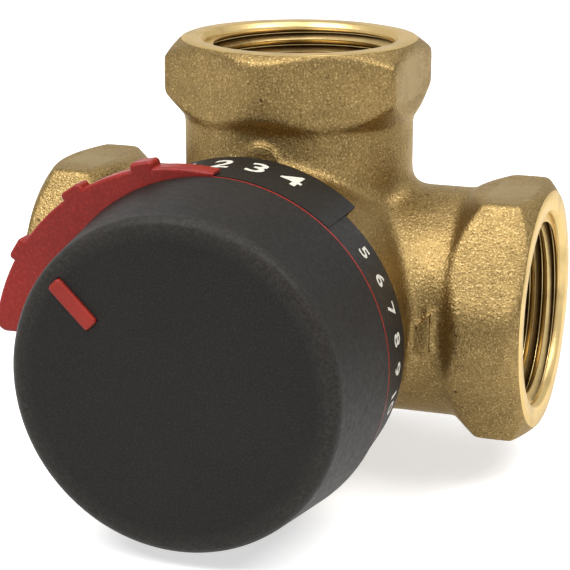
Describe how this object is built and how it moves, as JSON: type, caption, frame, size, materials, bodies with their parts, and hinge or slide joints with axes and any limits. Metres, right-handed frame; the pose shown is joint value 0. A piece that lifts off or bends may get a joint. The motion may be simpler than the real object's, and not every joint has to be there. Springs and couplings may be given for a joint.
{
  "type": "rotary mixing valve",
  "caption": "Brass rotary mixing valve with hexagonal internally threaded ports and a black hand knob that turns over a red position scale.",
  "frame": {"origin": "valve centre, where the axes of the run ports, the branch port and the stem meet", "axes": "+X along the run to the right port, +Z along the branch port, -Y out of the knob"},
  "size_m": [0.072, 0.069, 0.0594],
  "materials": {
    "cast_brass": "shot-blasted casting",
    "machined_brass": "turned",
    "black_compound": "glass-filled, matt",
    "slide_plastic": "smooth",
    "seal_rubber": "matt",
    "spring_steel": "drawn wire",
    "drum_plastic": "fine grain",
    "red_plastic": "satin",
    "knob_plastic": "fine grain",
    "pointer_plastic": "satin"
  },
  "bodies": {
    "valve": {"valve_body": "cast_brass", "bush": "black_compound", "bush_o_ring": "seal_rubber", "bush_snap_ring": "spring_steel", "thrust_washer": "slide_plastic", "rotor_bearing_ring": "slide_plastic", "scale_drum": "drum_plastic", "position_scale": "red_plastic"},
    "knob": {"knob_cap": "knob_plastic", "knob_pointer": "pointer_plastic", "hub_spring_ring": "spring_steel", "shaft": "black_compound", "inner_shaft_o_ring": "seal_rubber", "outer_shaft_o_ring": "seal_rubber", "rotor": "machined_brass"}
  },
  "joints": [
    {"name": "knob_turn", "type": "hinge", "parent": "valve", "child": "knob", "pos_m": [0, 0, 0], "axis": [0, -1, 0], "range_deg": [-45, 45]}
  ]
}
